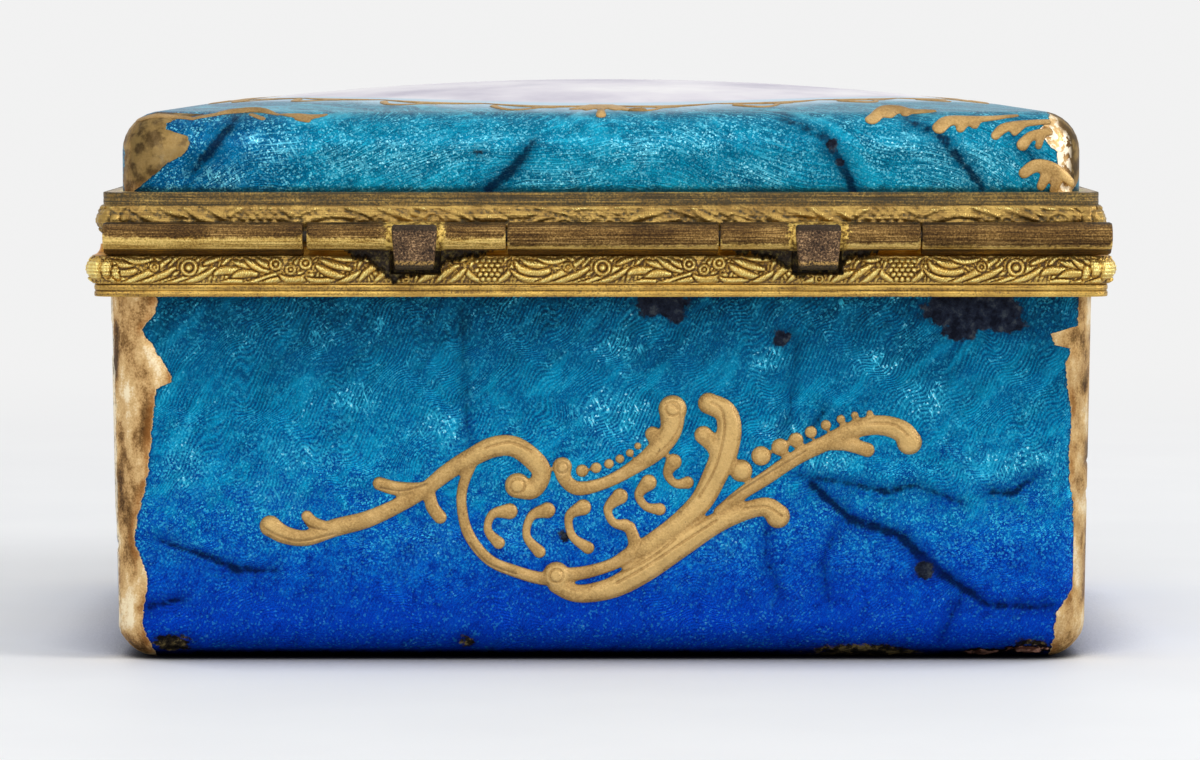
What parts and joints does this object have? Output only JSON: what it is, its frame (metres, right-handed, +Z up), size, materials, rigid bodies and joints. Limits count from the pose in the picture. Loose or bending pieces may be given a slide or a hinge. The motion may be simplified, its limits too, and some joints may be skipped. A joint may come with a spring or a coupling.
{
  "type": "jewelry box",
  "caption": "Rectangular enamelled copper box with a low domed lid, moulded gilt brass mounts round the opening and a full-width knuckled hinge with square stop blocks.",
  "frame": {"origin": "middle of the flat underside, in the middle of the enamelled body", "axes": "+X along the width, +Y towards the hinge at the back, +Z up"},
  "size_m": [0.1028, 0.0819, 0.0583],
  "materials": {
    "body_enamel": "glossy translucent enamel over crinkled foil, turquoise at the top running to cobalt at the base, gilded corners",
    "lid_enamel": "glossy translucent turquoise enamel over crinkled foil, pale field on top in a gold scroll border",
    "raised_gold": "matte raised gold paste with burnished high spots",
    "gilt_brass": "bright gilt, dark patina in the embossed ornament",
    "worn_brass": "worn brown brass with lengthwise scratches",
    "pin_steel": "dull drawn wire"
  },
  "bodies": {
    "box": {"body_shell": "body_enamel", "lower_mount_back": "gilt_brass", "lower_mount_left": "gilt_brass", "lower_mount_front": "gilt_brass", "lower_mount_right": "gilt_brass", "lid_bezel": "gilt_brass", "knuckle_outer_left": "worn_brass", "knuckle_centre": "worn_brass", "knuckle_outer_right": "worn_brass", "hinge_pin": "pin_steel"},
    "lid": {"lid_shell": "lid_enamel", "upper_mount_back": "gilt_brass", "upper_mount_left": "gilt_brass", "upper_mount_front": "gilt_brass", "upper_mount_right": "gilt_brass", "knuckle_lid_left": "worn_brass", "knuckle_lid_right": "worn_brass", "stop_block_left": "worn_brass", "stop_block_right": "worn_brass", "thumb_piece": "gilt_brass"}
  },
  "joints": [
    {"name": "lid_hinge", "type": "hinge", "parent": "box", "child": "lid", "pos_m": [0, 0.03942, 0.0429], "axis": [-1, 0, 0], "range_deg": [0, 95]}
  ]
}
